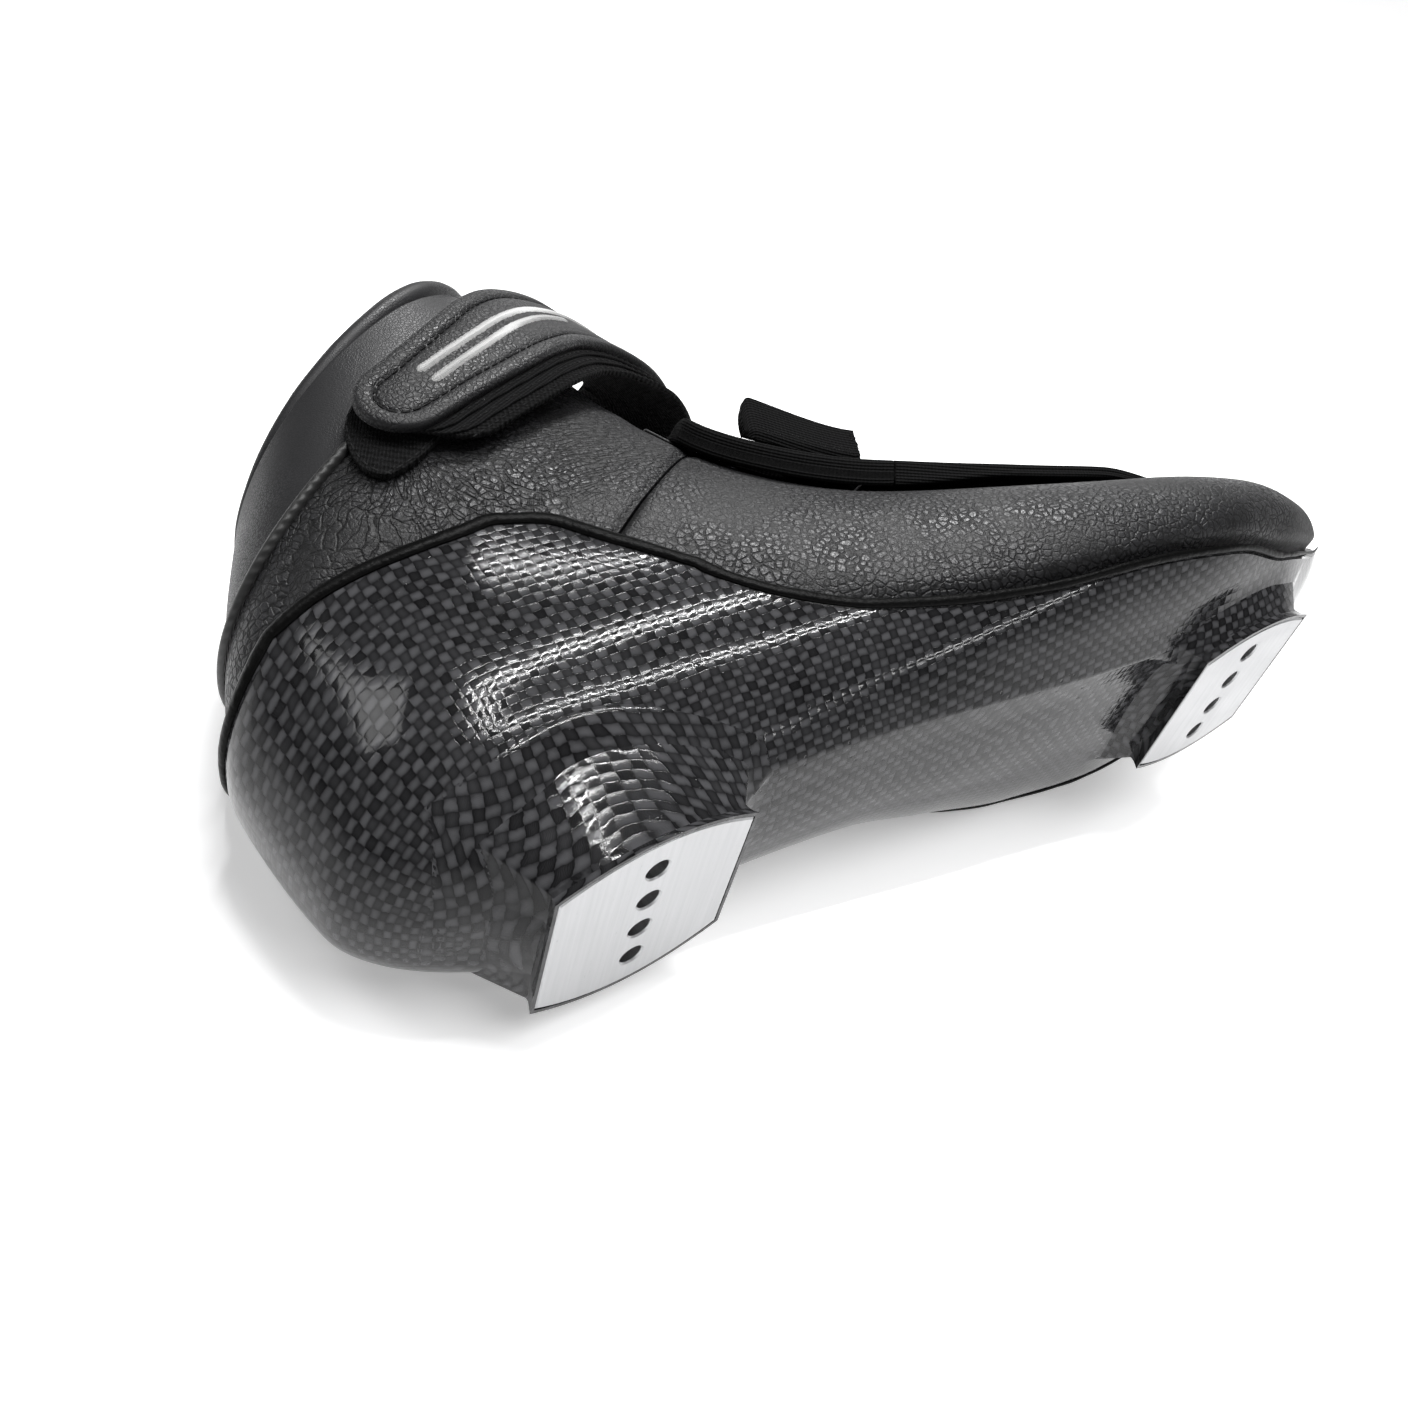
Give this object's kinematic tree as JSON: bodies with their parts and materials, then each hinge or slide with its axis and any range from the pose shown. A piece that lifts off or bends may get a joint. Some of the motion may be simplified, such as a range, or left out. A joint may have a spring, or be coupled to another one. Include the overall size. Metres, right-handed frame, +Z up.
{
  "type": "speed skate boot",
  "caption": "Low-cut speed skating boot, right foot, without its blade: woven carbon shell with flared aluminium mounting blocks, black leather upper, ankle strap and lace cover.",
  "frame": {"origin": "middle of the boot's footprint as it lies on its inner side, on the surface it lies on", "axes": "+X towards the toe along the boot, +Y towards the collar, +Z up from the surface, which is the boot's outer side"},
  "size_m": [0.269, 0.1748, 0.0921],
  "materials": {
    "carbon_laminate": "glossy clear resin over woven carbon",
    "aluminium_block": "fine machined",
    "rim_sealant": "satin",
    "piping": "satin",
    "grained_leather": "soft grained, semi-gloss",
    "smooth_leather": "smooth, semi-matt",
    "strap_leather": "fine grained, stitched border",
    "lining_fabric": "matt",
    "footbed_foam": "matt",
    "hook_and_loop": "matt pile",
    "edge_tape": "matt tape",
    "lace_cord": "matt woven",
    "eyelet_metal": "satin black"
  },
  "bodies": {
    "boot": {"carbon_shell": "carbon_laminate", "heel_mounting_block": "aluminium_block", "toe_mounting_block": "aluminium_block", "shell_rim_bead": "rim_sealant", "vamp": "grained_leather", "quarter_lateral": "grained_leather", "quarter_medial": "grained_leather", "rear_cuff": "smooth_leather", "cuff_piping": "piping", "collar_roll": "smooth_leather", "insole_board": "lining_fabric", "liner": "lining_fabric", "footbed": "footbed_foam", "ankle_pad_lateral": "footbed_foam", "ankle_pad_medial": "footbed_foam", "tongue": "smooth_leather", "eyestay_lateral": "smooth_leather", "eyestay_medial": "smooth_leather", "eyelet_lateral_1": "eyelet_metal", "eyelet_medial_1": "eyelet_metal", "eyelet_lateral_2": "eyelet_metal", "eyelet_medial_2": "eyelet_metal", "eyelet_lateral_3": "eyelet_metal", "eyelet_medial_3": "eyelet_metal", "eyelet_lateral_4": "eyelet_metal", "eyelet_medial_4": "eyelet_metal", "eyelet_lateral_5": "eyelet_metal", "eyelet_medial_5": "eyelet_metal", "eyelet_lateral_6": "eyelet_metal", "eyelet_medial_6": "eyelet_metal", "lace": "lace_cord", "instep_guard": "smooth_leather", "guard_edge": "edge_tape", "strap_tail": "strap_leather", "strap_tail_backing": "hook_and_loop", "loop_patch": "hook_and_loop", "strap_anchor": "hook_and_loop"},
    "lace_cover_flap": {"lace_cover": "smooth_leather", "cover_edge": "edge_tape"},
    "tab": {"instep_tab": "edge_tape", "instep_tab_hook": "hook_and_loop"},
    "strap": {"strap_band": "strap_leather", "strap_band_backing": "hook_and_loop"},
    "strap_free_end": {"strap_end": "strap_leather", "strap_end_hook": "hook_and_loop"}
  },
  "joints": [
    {"name": "lace_cover_hinge", "type": "hinge", "parent": "boot", "child": "lace_cover_flap", "pos_m": [0.1312, -0.05257, 0.0534], "axis": [0.1252, 0.0886, -0.9882], "range_deg": [0, 65]},
    {"name": "instep_tab_hinge", "type": "hinge", "parent": "boot", "child": "tab", "pos_m": [0.01503, -0.01001, 0.07268], "axis": [-0.7686, 0.6384, -0.0406], "range_deg": [-50, 50]},
    {"name": "strap_swing", "type": "hinge", "parent": "boot", "child": "strap", "pos_m": [-0.00965, 0.06108, 0.02689], "axis": [-0.3685, 0.9289, 0.0366], "range_deg": [0, 80]},
    {"name": "strap_peel", "type": "hinge", "parent": "strap", "child": "strap_free_end", "pos_m": [-0.02404, 0.05636, 0.076], "axis": [-0.3685, 0.9289, 0.0366], "range_deg": [0, 75]}
  ]
}
